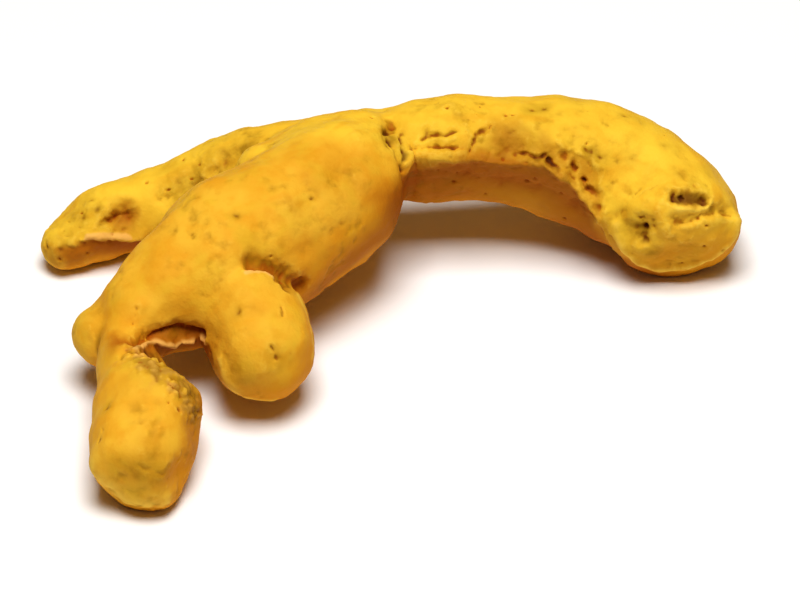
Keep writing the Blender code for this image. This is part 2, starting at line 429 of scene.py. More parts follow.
TORN_EDGE = [
    (18.0, 18.9, 15.5),
    (20.5, 18.5, 14.8),
    (21.6, 18.2, 14.1),
    (22.1, 17.4, 12.9),
    (22.5, 16.0, 10.8),
    (22.9, 15.4, 9.0),
    (23.6, 15.2, 7.0),
]
TIP_EDGE = [
    (-33.8, 15.6, 4.5),
    (-32.7, 15.9, 5.0),
    (-31.5, 16.1, 5.2),
    (-30.4, 16.6, 5.0),
    (-29.1, 17.0, 4.7),
    (-27.8, 17.4, 4.2),
    (-26.6, 17.6, 4.3),
]
FORK_EDGE = [
    (-26.5, -9.0, 11.2),
    (-25.7, -6.2, 9.7),
    (-24.0, -5.2, 10.0),
    (-22.0, -4.2, 9.9),
    (-21.0, -3.7, 9.4),
    (-19.3, -5.0, 8.4),
]

# For each: points, the powdered side, how far it reaches, how softly it begins, how bare it is
BARE_AND_SHADED_SIDES = [
    # Bare skin below the torn ridge, and painted shade on the arch's underside
    (BARE_EDGE, UP_AND_BACK, 8.5, 1.8, 0.95),
    (TORN_EDGE, UP_RIGHT, 2.8, 0.7, 0.55),
    (TIP_EDGE, UP, 2.4, 0.5, 1.0),
    (FORK_EDGE, UP, 3.2, 0.5, 1.0),
]

# Torn edges, where the skin on one side of a line stands over the other: points, side, reach, height
END_EDGE = [
    (31.8, 13.2, 9.4),
    (33.2, 13.7, 9.9),
    (34.3, 14.4, 9.7),
    (35.2, 15.0, 9.3),
    (36.2, 15.5, 8.6),
]
LEDGES = [
    ([(2.0, 17.7, 15.8), (4.0, 17.8, 16.0), (5.8, 17.7, 16.1), (7.4, 17.6, 16.0)], DOWN, 0.8, 0.40),
    ([(13.7, 18.0, 14.9), (15.4, 17.8, 14.7), (16.6, 18.0, 14.6), (18.0, 17.3, 13.6)], DOWN, 0.7, 0.35),
    (ARCH_EDGE, UP_RIGHT, 0.9, 0.45),
    (TORN_EDGE, UP_RIGHT, 0.8, 0.32),
    (TIP_EDGE, UP, 0.9, 0.50),
    (FORK_EDGE, UP, 0.9, 0.40),
    ([(-15.0, -1.6, 14.9), (-13.8, -1.0, 14.6), (-12.6, -0.4, 13.8), (-11.4, -0.6, 13.2)], DOWN, 0.6, 0.30),
    (END_EDGE, DOWN, 1.6, 0.45),
]
LEDGE_SOFTNESS = 0.3
EDGE_RAGGEDNESS = 0.5

# Flaps of dry tissue that stand on an edge: points, half width, height
FORK_FLAP = [
    (-26.3, -10.1, 11.5),
    (-25.5, -7.5, 9.7),
    (-24.4, -6.2, 9.0),
    (-23.5, -5.8, 8.4),
    (-22.7, -5.0, 7.6),
    (-21.8, -5.0, 7.7),
    (-20.7, -4.2, 7.5),
    (-19.6, -5.3, 8.1),
]
TIP_LIP = [
    (-32.4, 16.2, 5.5),
    (-31.5, 16.4, 5.6),
    (-30.4, 16.9, 5.4),
    (-29.1, 17.3, 5.2),
    (-28.0, 17.6, 4.9),
]
KNOB_FLAP = [
    (-14.9, -1.9, 14.9),
    (-14.0, -1.3, 14.7),
    (-13.0, -0.8, 14.2),
    (-12.0, -0.8, 13.6),
    (-11.3, -1.2, 13.2),
]
FLAPS = [(FORK_FLAP, 0.34, 0.6), (TIP_LIP, 0.38, 0.05), (KNOB_FLAP, 0.40, 0.12)]

# Cracks, and one wide dark line of painted shade in the foot's bite: points, half width, depth,
# darkness. Each comes and goes along its line.
CRACKS_AND_SHADE = [
    ([(0.0, 20.4, 16.9), (-0.4, 18.6, 17.2), (0.3, 16.6, 17.2)], 0.34, 0.45, 1.0),
    ([(1.2, 19.2, 16.8), (1.0, 18.0, 16.6), (1.5, 16.9, 16.0), (1.4, 15.8, 15.0)], 0.26, 0.40, 0.9),
    ([(3.4, 18.7, 16.7), (4.0, 19.5, 17.2)], 0.32, 0.34, 0.55),
    ([(4.6, 19.1, 17.1), (5.8, 19.1, 17.1), (7.1, 19.4, 17.2)], 0.26, 0.30, 0.5),
    ([(2.4, 17.8, 15.8), (4.0, 18.0, 16.1), (5.8, 17.8, 16.2), (7.1, 17.8, 16.1)], 0.24, 0.30, 0.45),
    ([(10.6, 20.1, 17.2), (9.4, 19.4, 17.1), (8.9, 18.4, 16.5), (8.5, 17.8, 15.8)], 0.26, 0.40, 0.6),
    ([(13.5, 18.3, 15.1), (14.6, 18.3, 15.2)], 0.26, 0.40, 0.7),
    ([(15.0, 18.1, 15.0), (15.8, 17.8, 14.7), (16.5, 18.3, 14.9)], 0.24, 0.40, 0.7),
    ([(16.9, 18.0, 14.6), (17.6, 17.6, 14.1), (18.1, 17.3, 13.6)], 0.26, 0.45, 0.7),
    ([(19.4, 18.0, 13.7), (20.1, 17.4, 13.0), (20.9, 17.2, 12.3)], 0.25, 0.30, 0.4),
    ([(18.8, 16.9, 13.8), (19.7, 16.5, 12.6), (20.8, 16.3, 11.6)], 0.25, 0.30, 0.4),
    ([(18.6, 18.5, 14.8), (19.4, 18.0, 14.2), (20.3, 17.3, 13.0), (21.2, 16.6, 11.8)], 0.34, 0.35, 0.4),
    ([(21.3, 16.5, 11.6), (21.8, 16.0, 10.7), (22.3, 15.5, 9.4)], 0.30, 0.30, 0.3),
    ([(20.9, 19.0, 15.2), (21.4, 18.7, 14.8), (21.8, 18.5, 14.4)], 0.34, 0.35, 0.5),
    ([(27.3, 13.9, 9.2), (27.1, 14.1, 8.2), (27.0, 13.9, 7.5)], 0.55, 0.55, 1.0),
    ([(26.3, 13.7, 9.8), (26.8, 14.0, 9.0)], 0.35, 0.35, 0.7),
    ([(-29.8, 17.9, 6.5), (-28.9, 18.5, 7.1), (-28.1, 18.3, 7.1)], 0.55, 0.45, 0.4),
    ([(-30.3, 17.5, 6.6), (-29.6, 17.4, 6.0)], 0.22, 0.20, 0.6),
    ([(-36.9, 16.8, 4.6), (-36.6, 16.4, 4.0)], 0.20, 0.22, 0.8),
    ([(-35.9, 15.9, 4.8), (-35.2, 15.6, 4.2)], 0.20, 0.20, 0.7),
    ([(-34.7, 16.5, 5.6), (-34.0, 16.3, 5.4)], 0.22, 0.22, 0.7),
    ([(-11.9, -1.4, 13.4), (-11.2, -1.4, 12.9), (-10.5, -1.0, 12.4), (-9.9, -0.2, 11.6)], 0.42, 0.50, 1.0),
    ([(-11.3, -5.0, 12.7), (-11.1, -6.0, 12.3)], 0.20, 0.18, 0.6),
    ([(-12.5, -9.2, 10.8), (-12.0, -9.7, 10.1), (-11.7, -10.2, 9.2)], 0.20, 0.25, 0.8),
    ([(-26.7, -6.1, 11.8), (-26.5, -4.7, 12.2)], 0.18, 0.18, 0.6),
    ([(-25.0, -22.4, 10.9), (-24.2, -22.3, 10.6)], 0.17, 0.14, 0.55),
    ([(-25.8, -25.6, 7.8), (-24.5, -25.5, 7.3), (-23.0, -25.3, 6.5)], 0.26, 0.14, 0.4),
    ([(-30.3, -21.6, 9.7), (-30.5, -22.4, 8.7)], 0.22, 0.22, 0.7),
    # This wide one is painted shade in the foot's bite, over a shallow dent
    ([(-25.4, -9.4, 10.5), (-24.6, -9.5, 9.8), (-23.7, -10.0, 9.0), (-22.6, -10.6, 8.4)], 0.95, 0.25, 1.0),
]
CRACK_OPENNESS = 0.8
CRACK_GAPS = 1.2
CRACK_WIDENING = 1.1
CRACK_WAVER = 0.9
LEAST_OPEN = 0.1
END_SLOT = [(30.3, 14.8, 11.7), (31.8, 15.1, 11.5), (33.2, 15.2, 11.2)]
END_SLOT_HALF_HEIGHT = 0.62
END_SLOT_DEPTH = 0.95
END_SLOT_DARKNESS = 0.85

# Small dots where fine rootlets sat: centre, radius
DOTS = [
    ((15.3, 23.2, 17.3), 0.34),
    ((16.4, 23.4, 17.3), 0.42),
    ((18.0, 22.5, 17.2), 0.22),
    ((25.3, 24.4, 15.8), 0.30),
    ((29.4, 20.6, 14.7), 0.30),
    ((25.9, 18.8, 14.4), 0.28),
    ((30.9, 17.4, 13.8), 0.32),
    ((21.4, 18.8, 14.9), 0.45),
    ((22.3, 18.6, 14.4), 0.32),
    ((-15.8, -6.0, 12.6), 0.30),
    ((-31.2, 18.4, 7.8), 0.40),
    ((-32.8, 17.9, 7.0), 0.40),
    ((-30.7, 17.0, 6.6), 0.35),
    ((-32.1, 19.8, 7.9), 0.30),
    ((-16.1, 3.3, 18.3), 0.24),
    ((-8.2, 6.9, 18.0), 0.22),
    ((6.0, 28.2, 12.6), 0.5),
    ((20.3, 29.9, 12.0), 0.45),
    ((-20.5, 11.6, 13.0), 0.45),
    ((-29.3, -18.5, 10.0), 0.35),
    ((-10.5, 27.9, 10.0), 0.4),
]
DOT_DEPTH = 0.6
DOT_DARKNESS = 0.6
DOT_STAIN = 0.8

# Spots where the bare brown tissue shows, and painted shade in the foot's bite: centre, radius,
# strength
BARE_AND_SHADED_SPOTS = [
    ((-28.5, 18.1, 6.8), 1.8, 0.9),
    ((-10.9, -0.8, 12.4), 1.3, 0.9),
    # Painted shade in the foot's bite
    ((-22.8, -10.6, 10.3), 1.8, 1.0),
    ((-19.6, -19.0, 7.0), 3.2, 0.45),
    ((-9.6, 1.6, 10.0), 1.3, 0.8),
    ((12.6, 19.0, 15.8), 2.6, 0.75),
    ((16.0, 18.2, 14.9), 1.9, 0.5),
    ((31.2, 13.0, 9.0), 1.6, 0.15),
    ((-23.8, -25.4, 7.4), 3.0, 0.22),
    ((-14.6, -9.6, 7.0), 2.4, 0.1),
    ((32.0, 14.9, 11.6), 1.2, 0.9),
    ((-20.4, -15.8, 8.4), 2.2, 0.75),
    ((-22.6, -5.0, 8.0), 2.0, 1.0),
    ((-35.6, 15.4, 3.0), 1.6, 0.6),
]

# Painted shade in the bare skin's colours, on flanks turned away from the lamp and in the foot's
# bite: points, reach, strength
SIDE_FINGER_EDGE = [
    (-2.6, 11.9, 17.6),
    (-3.8, 8.2, 16.6),
    (-6.0, 5.1, 15.4),
    (-8.2, 3.0, 14.2),
    (-10.2, 1.4, 13.6),
]
SHADED_FLANKS = [
    ([(0.9, 13.4, 13.0), (-0.3, 10.2, 11.4), (-3.4, 7.0, 9.2), (-7.0, 3.8, 7.4)], 2.4, 0.65),
    (SIDE_FINGER_EDGE, 2.4, 0.20),
    ([(-25.2, -9.3, 10.3), (-24.3, -9.6, 9.4), (-22.8, -10.4, 8.6), (-21.8, -11.4, 8.2)], 1.9, 1.0),
]
BARE_RAGGEDNESS = 2

# Stains, and painted shade in the valley at the left fork and in the foot's bite: centre, radius,
# strength
STAINS_AND_SHADE = [
    ((0.3, 18.0, 17.2), 1.7, 0.8),
    ((5.0, 18.6, 16.8), 2.0, 0.35),
    ((12.9, 19.2, 16.1), 2.2, 0.35),
    ((16.0, 18.0, 14.8), 1.8, 0.4),
    ((21.8, 18.7, 14.6), 1.1, 0.9),
    ((15.9, 23.2, 17.3), 1.0, 0.7),
    ((26.3, 13.8, 8.6), 2.2, 1.0),
    ((27.5, 13.0, 5.9), 1.5, 0.8),
    ((32.0, 13.7, 5.4), 1.4, 0.6),
    ((34.6, 14.8, 10.2), 1.3, 0.45),
    ((32.0, 14.9, 11.7), 1.3, 0.25),
    ((32.3, 16.1, 12.7), 0.7, 0.6),
    ((31.0, 13.4, 5.0), 2.6, 0.4),
    ((-29.2, 17.9, 6.8), 1.9, 0.4),
    ((-35.0, 16.4, 5.0), 2.0, 0.5),
    ((-33.6, 18.6, 7.2), 2.8, 0.4),
    # Painted shade in the valley between the left arm and the side finger
    ((-21.4, 20.0, 9.8), 2.4, 0.9),
    ((-17.6, 21.0, 12.0), 2.2, 1.0),
    ((-15.5, 22.0, 13.2), 1.8, 0.9),
    ((-7.4, 8.6, 18.6), 2.0, 0.35),
    ((-9.9, 4.9, 17.6), 1.8, 0.35),
    ((-22.6, -4.3, 9.8), 2.4, 0.6),
    # Painted shade in the foot's bite
    ((-23.6, -9.8, 9.0), 2.0, 1.0),
    ((-15.6, -10.1, 8.4), 1.8, 0.5),
    ((-11.0, -0.6, 12.6), 1.6, 0.9),
    ((-13.0, 1.0, 14.2), 1.6, 0.5),
    ((-14.5, 0.2, 15.6), 1.3, 0.5),
    ((-20.8, -16.0, 9.6), 2.4, 0.9),
    ((-23.4, -14.2, 12.2), 2.4, 0.8),
    ((-28.6, -1.6, 10.0), 2.6, 0.35),
    ((-24.6, -25.5, 8.0), 2.6, 0.6),
    ((-12.2, -9.9, 9.4), 1.6, 0.5),
    ((-5.8, 11.0, 18.8), 1.6, 0.3),
]
STAIN_RAGGEDNESS = 3

# Knotty tissue, in grains like small peas, along a band
KNOTTY_BAND = [
    (-26.0, -11.4, 11.8),
    (-24.6, -13.2, 12.0),
    (-23.1, -15.0, 11.8),
    (-21.5, -16.0, 10.9),
    (-20.3, -16.6, 9.4),
    (-19.8, -16.8, 8.0),
]
KNOTTY_REACH = 2.1
KNOTTY_ROUGHNESS = 0.6

# Rough skin with many pits: centre, radius, strength
ROUGH_SPOTS = [
    ((-33.0, 17.8, 5.5), 4.5, 0.9),
    ((-21.0, 20.3, 10.0), 4.0, 1.0),
    ((-16.4, 21.6, 12.6), 2.5, 0.9),
    ((30.5, 13.5, 7.0), 6.0, 0.55),
    ((10.0, 18.4, 15.8), 6.5, 0.7),
    ((17.5, 18.0, 14.5), 3.5, 0.5),
    ((20.8, 16.8, 12.2), 2.8, 0.4),
    ((24.0, 29.3, 9.5), 5.0, 0.6),
    ((-2.0, 27.5, 10.0), 5.0, 0.6),
    ((-17.0, 12.6, 8.0), 4.0, 0.6),
    ((-12.2, -0.2, 13.8), 2.2, 0.7),
    ((-21.5, -17.0, 9.5), 3.5, 0.7),
]

# The main finger from the arch to the blunt end, and its back, hold the most powder: where that
# begins and how softly, and the lower corner of the blunt end, which holds less
POWDER_FROM_X = -3
POWDER_OVER_X = 9
POWDER_FROM_Y = 14
POWDER_OVER_Y = 3
THIN_CORNER = (32.0, 12.5, 6.5)
THIN_CORNER_RADIUS = 5.5
THIN_CORNER_STRENGTH = 0.6


def step_from(points, line):
    """The step to each point from the nearest spot on a line of short straight pieces."""
    best = np.full(len(points), np.inf)
    step = np.zeros((len(points), 3))
    for a, b in zip(np.array(line), np.array(line[1:])):
        share = np.clip((points - a) @ (b - a) / ((b - a) @ (b - a)), 0, 1)
        trial = points - a - share[:, None] * (b - a)
        length = np.linalg.norm(trial, axis=1)
        nearer = length < best
        best[nearer] = length[nearer]
        step[nearer] = trial[nearer]
    return step


def along_skin(step):
    """The length of each step along the skin. A line may lie a little over or under the skin."""
    length = np.linalg.norm(step, axis=1)
    through = np.abs((step * normals).sum(axis=1))
    flat = np.sqrt(np.maximum(length**2 - through**2, 0))
    return np.hypot(flat, np.maximum(through - SKIN_DEPTH, 0))


def fade(distance, reach, power=2):
    """1 at no distance, fading to 0 past the reach."""
    return np.exp(-((distance / reach) ** power))


def near_line(points, line, reach, power=2):
    """1 at each point on the line, fading to 0 past the reach."""
    return fade(along_skin(step_from(points, line)), reach, power)


def round_spot(points, centre, radius, power=2):
    """1 at the centre of a spot, fading to 0 past its radius."""
    return fade(np.linalg.norm(points - np.array(centre), axis=1), radius, power)


mark_points = points + ragged + frayed
edge_points = points + EDGE_RAGGEDNESS * ragged + frayed
bare_points = points + BARE_RAGGEDNESS * ragged
stain_points = points + STAIN_RAGGEDNESS * ragged

for line, width, size in FOLDS:
    height += size * near_line(mark_points, line, width)
for centre, radius, depth in HOLLOWS:
    height -= depth * round_spot(mark_points, centre, radius, 3)
for line, side, reach, size in LEDGES:
    step = step_from(edge_points, line)
    over = np.clip(0.5 + (step @ side) / LEDGE_SOFTNESS, 0, 1)
    height += size * over * fade(along_skin(step), reach)
flap = np.zeros(len(points))
for line, width, size in FLAPS:
    raised_edge = near_line(edge_points, line, width)
    height += size * raised_edge
    flap = np.maximum(flap, raised_edge)
slot = near_line(edge_points, END_SLOT, END_SLOT_HALF_HEIGHT, 6)
height -= END_SLOT_DEPTH * slot

dark = END_SLOT_DARKNESS * slot
open_share = np.clip(CRACK_OPENNESS + CRACK_GAPS * broken, LEAST_OPEN, 1)
for line, width, depth, darkness in CRACKS_AND_SHADE:
    wavering = width * (CRACK_WIDENING + CRACK_WAVER * broken)
    cut = near_line(mark_points, line, wavering) * open_share
    height -= depth * cut
    dark = np.maximum(dark, darkness * cut)
stain_and_shade = np.zeros(len(points))
for centre, radius in DOTS:
    cut = round_spot(mark_points, centre, radius)
    height -= DOT_DEPTH * radius * cut
    dark = np.maximum(dark, DOT_DARKNESS * cut)
    stain_and_shade = np.maximum(stain_and_shade, DOT_STAIN * round_spot(mark_points, centre, 2 * radius))
for centre, radius, strength in STAINS_AND_SHADE:
    stain_and_shade = np.maximum(stain_and_shade, strength * round_spot(stain_points, centre, radius))

bare_skin_and_shade = np.zeros(len(points))
for line, side, reach, softness, strength in BARE_AND_SHADED_SIDES:
    step = step_from(edge_points, line)
    beyond = strength * np.clip(0.5 - (step @ side) / softness, 0, 1)
    bare_skin_and_shade = np.maximum(bare_skin_and_shade, beyond * fade(np.linalg.norm(step, axis=1), reach, 4))
for centre, radius, strength in BARE_AND_SHADED_SPOTS:
    bare_skin_and_shade = np.maximum(bare_skin_and_shade, strength * round_spot(bare_points, centre, radius, 3))
for line, reach, strength in SHADED_FLANKS:
    bare_skin_and_shade = np.maximum(bare_skin_and_shade, strength * near_line(bare_points, line, reach, 3))

worn_and_highlit = np.zeros(len(points))
for line, reach in PALE_EDGES:
    worn_and_highlit = np.maximum(worn_and_highlit, near_line(mark_points, line, reach) * np.clip(PALE_EDGE_SHARE + broken, 0, 1))
knotty = near_line(bare_points, KNOTTY_BAND, KNOTTY_REACH, 3)
rough = KNOTTY_ROUGHNESS * knotty
for centre, radius, strength in ROUGH_SPOTS:
    rough = np.maximum(rough, strength * round_spot(points, centre, radius, 4))
on_arch = (points[:, 0] - POWDER_FROM_X) / POWDER_OVER_X
on_back = (points[:, 1] - POWDER_FROM_Y) / POWDER_OVER_Y
powdered = np.clip(np.maximum(on_arch, on_back), 0, 1)
powdered *= 1 - THIN_CORNER_STRENGTH * round_spot(points, THIN_CORNER, THIN_CORNER_RADIUS, 4)

# The polish
# Bare root, boiled, dried and tumbled in a drum with ground turmeric. The powder is golden on the
# open skin, pale on rubbed crests, and the skin under it shows orange and brown where it is thin.
# Painted shade darkens the hollows, dents, downward side, shaded flanks, forks and the gaps between
# the knotty grains, and a painted highlight adds to the pale wear on the rims.
GOLD = (0.80, 0.455, 0.040, 1)
LEMON = (0.87, 0.555, 0.046, 1)
STRAW = (0.72, 0.44, 0.030, 1)
AMBER = (0.68, 0.26, 0.004, 1)
PALE = (0.90, 0.60, 0.085, 1)
OLIVE = (0.30, 0.155, 0.006, 1)
RUST = (0.34, 0.075, 0.002, 1)
BROWN = (0.09, 0.022, 0.002, 1)
TAN = (0.86, 0.48, 0.13, 1)
CLOUD_SIZE = 6.0
STRAW_SIZE = 3.0
MOTTLE_SIZE = 1.6
POWDER_SIZE = 0.32
POWDER_BUMP = 0.05
POWDER_SHEEN = 0.09
SKIN_ROUGHNESS = 0.72
GRAIN_SMOOTHING = 0.12


class Socket:
    """A socket of a node tree. Sums, differences and products of sockets add Math nodes."""

    def __init__(self, graph, socket):
        self.graph = graph
        self.socket = socket

    def maths(self, operation, *values):
        return self.graph.node("ShaderNodeMath", {"operation": operation}, dict(enumerate(values)))

    def other(self, name):
        """Another output of the same node."""
        return Socket(self.graph, self.socket.node.outputs[name])

    def __add__(self, value):
        return self.maths("ADD", self, value)

    def __sub__(self, value):
        return self.maths("SUBTRACT", self, value)

    def __rsub__(self, value):
        return self.maths("SUBTRACT", value, self)

    def __mul__(self, value):
        return self.maths("MULTIPLY", self, value)

    def __truediv__(self, value):
        return self.maths("DIVIDE", self, value)

    def __rtruediv__(self, value):
        return self.maths("DIVIDE", value, self)

    __radd__ = __add__
    __rmul__ = __mul__


class Graph:
    """Adds nodes to a node tree, for a material or for Geometry Nodes."""

    def __init__(self, tree):
        self.tree = tree

    def node(self, kind, settings=None, values=None, out=0):
        """A new node's output. Values, by socket, are numbers, colours or other sockets."""
        node = self.tree.nodes.new(kind)
        for name, setting in (settings or {}).items():
            setattr(node, name, setting)
        for name, value in (values or {}).items():
            if isinstance(value, Socket):
                self.tree.links.new(value.socket, node.inputs[name])
            else:
                node.inputs[name].default_value = value
        return Socket(self, node.outputs[out])

    def noise(self, place, size, seed, detail=2):
        """Cloudy noise round 0.5. Its size is in the units of the place."""
        values = {"Vector": place, "W": seed, "Scale": 1 / size, "Detail": detail}
        return self.node("ShaderNodeTexNoise", {"noise_dimensions": "4D"}, values)

    def rise(self, value, low, high):
        """0 below the low value and 1 above the high one."""
        values = {"Value": value, "From Min": low, "From Max": high}
        return self.node("ShaderNodeMapRange", {"interpolation_type": "SMOOTHSTEP"}, values)

    def vector(self, operation, *values, out=0):
        return self.node("ShaderNodeVectorMath", {"operation": operation}, dict(enumerate(values)), out)


polish = bpy.data.materials.new("polished turmeric")
polish.use_nodes = True
graph = Graph(polish.node_tree)
place = graph.vector("MULTIPLY", graph.node("ShaderNodeTexCoord", out="Object"), (1 / MM, 1 / MM, 1 / MM))


def mark(name):
    """A number that the mesh keeps at each of its points."""
    return graph.node("ShaderNodeAttribute", {"attribute_name": name}, out=2)


def colour_mix(share, below, above):
    """The colour above, laid over the one below as far as its share goes."""
    settings = {"data_type": "RGBA", "clamp_factor": True}
    return graph.node("ShaderNodeMix", settings, {0: share, 6: below, 7: above}, 2)


clouds = graph.rise(graph.noise(place, CLOUD_SIZE, 1), 0.40, 0.66)
mottle = graph.rise(graph.noise(place, MOTTLE_SIZE, 2, 3), 0.42, 0.70)
powder = graph.noise(place, POWDER_SIZE, 3, 2)
hollow = mark("hollow")
dent = mark("dent")
crest = graph.rise(0 - hollow, 0.012, 0.07)

coated = mark("powdered")
shade_between_knots = graph.rise(0.12 - mark("knot"), 0.0, 0.3) * graph.rise(mark("knotty"), 0.3, 0.9)
rubbed_grains = crest * (1 - mark("bare_skin_and_shade")) * graph.rise(powder, 0.35, 0.6)
dark_marks_and_shade = mark("dark") + mark("pit") * 0.4 + graph.rise(hollow, 0.10, 0.35) * 0.7
colour = colour_mix(clouds * (0.42 - 0.26 * coated), colour_mix(coated, GOLD, LEMON), AMBER)
# What lies over it, from the lowest layer up: its share and its colour
LAYERS = [
    (graph.rise(graph.noise(place, STRAW_SIZE, 5, 3), 0.45, 0.7) * 0.6, STRAW),
    (mottle * (0.28 - 0.12 * coated), AMBER),
    # Painted shade in broad hollows
    (graph.rise(mark("basin"), 0.05, 0.45) * 0.5, AMBER),
    # Painted shade in dents, patchy with the mottle
    (graph.rise(dent, 0.01, 0.16) * graph.rise(mottle + dent * 2, 0.2, 0.7) * 0.6, OLIVE),
    # Painted shade, in amber, on the side that faces down and a little to the right
    (graph.rise(mark("underside_shade"), -0.25, 0.45) * 0.8, AMBER),
    (graph.rise(mark("streak"), 0.02, 0.2) * 0.3, AMBER),
    # Bare skin, and painted shade on the shaded flanks, under the arch and in the foot's bite
    (mark("bare_skin_and_shade") * 0.85, RUST),
    (rubbed_grains * 0.4, PALE),
    # Pale rims: rubbed wear, and a painted highlight along each rim
    (mark("worn_and_highlit") * 0.8, PALE),
    (mark("knotty") * graph.rise(mottle, 0.0, 0.6) * 0.55, TAN),
    # Painted shade in the gaps between the knotty grains
    (shade_between_knots * 0.65, OLIVE),
    (graph.rise(mark("flap"), 0.25, 0.8) * 0.8, TAN),
    # Stains, and painted shade in the left valley and the foot's bite
    (mark("stain_and_shade") * (0.5 + 0.5 * mottle), OLIVE),
    # Painted shade in small hollows
    (graph.rise(hollow, 0.02, 0.16) * 0.75, RUST),
    (mark("fleck") * 0.5, OLIVE),
    # Cracks, pits and dots darkened, with painted shade in the small hollows
    (graph.rise(dark_marks_and_shade, 0.15, 1.2), BROWN),
]
for share, tint in LAYERS:
    colour = colour_mix(share, colour, tint)

grains = {"Strength": 1.0, "Distance": POWDER_BUMP * MM, "Height": powder}
shader = polish.node_tree.nodes["Principled BSDF"]
shader.inputs["Specular IOR Level"].default_value = POWDER_SHEEN
looks = {
    "Base Color": colour,
    "Roughness": SKIN_ROUGHNESS - GRAIN_SMOOTHING * powder,
    "Normal": graph.node("ShaderNodeBump", None, grains),
}
for name, look in looks.items():
    polish.node_tree.links.new(look.socket, shader.inputs[name])

# The growth marks
# Faint rings where leaf scales sat, wrinkles that run along each finger, knotty grains at the
# foot, and pits where rootlets were. They follow the skin, so they are set out by rule.

# The inputs of their tree, with the lengths in millimetres
MARK_SIZES = {
    "Ring Spacing": 3.6,
    "Ring Height": 0.05,
    "Wrinkle Size": 1.5,
    "Wrinkle Height": 0.10,
    "Knot Size": 0.95,
    "Knot Height": 0.85,
    "Pit Spacing": 11.0,
    "Rough Pit Spacing": 3.0,
    "Smallest Pit": 0.16,
    "Largest Pit": 0.42,
    "Pit Share": 0.7,
    "Fleck Size": 1.2,
    "Fleck Depth": 0.14,
}
PIT_SEED = 7
RING_WOBBLE_SIZE = 4.0
RING_PATCH_SIZE = 7.0
WRINKLE_STRETCH = 0.16
UNEVEN_SIZE = 2.2
GRITTY_SIZE = 0.9
FLECK_PATCH_SIZE = 6.5
KNOT_PATCH_SIZE = 1.7
PIT_EDGE_SIZE = 0.5
# The way that the shaded side faces, where the skin is painted amber as painted shade
SHADED_SIDE = (0.45, 0.1, -0.88)
SHADED_SIDE_BLUR = 60
# Hollows, from small to broad: how often the skin is blurred to find how deep each place lies
# The material paints shade into each kind of hollow.
HOLLOW_BLURS = {"hollow": 8, "dent": 45, "basin": 180}
# How many points are compared with a path at once
BATCH = 20000


def along_fingers(points):
    """How far along the nearest finger each point lies, and its step from the middle of it."""
    best = np.full(len(points), np.inf)
    along = np.zeros(len(points))
    step = np.zeros((len(points), 3))
    heading = np.zeros((len(points), 3))
    for path in paths:
        pieces = np.linalg.norm(np.diff(path[:, :3], axis=0), axis=1)
        lengths = np.concatenate([[0], np.cumsum(pieces)])
        headings = np.gradient(path[:, :3], axis=0)
        headings /= np.linalg.norm(headings, axis=1)[:, None]
        for first in range(0, len(points), BATCH):
            some = slice(first, first + BATCH)
            steps = points[some, None] - path[None, :, :3]
            depth = np.linalg.norm(steps, axis=2) - path[None, :, 3]
            nearest = depth.argmin(axis=1)
            rows = np.arange(len(nearest))
            nearer = depth[rows, nearest] < best[some]
            best[some][nearer] = depth[rows, nearest][nearer]
            along[some][nearer] = lengths[nearest][nearer]
            step[some][nearer] = steps[rows, nearest][nearer]
            heading[some][nearer] = headings[nearest][nearer]
    past = (step * heading).sum(axis=1)
    return along + past, step - past[:, None] * heading


def keep_attribute(mesh, name, values):
    """Keeps a number or a vector at each of the mesh's points."""
    kind = "FLOAT" if values.ndim == 1 else "FLOAT_VECTOR"
    attribute = mesh.attributes.new(name, kind, "POINT")
    attribute.data.foreach_set("value" if kind == "FLOAT" else "vector", values.ravel())


def field(graph, name, kind="FLOAT"):
    """A number or a vector that the mesh keeps at each of its points."""
    return graph.node("GeometryNodeInputNamedAttribute", {"data_type": kind}, {"Name": name})


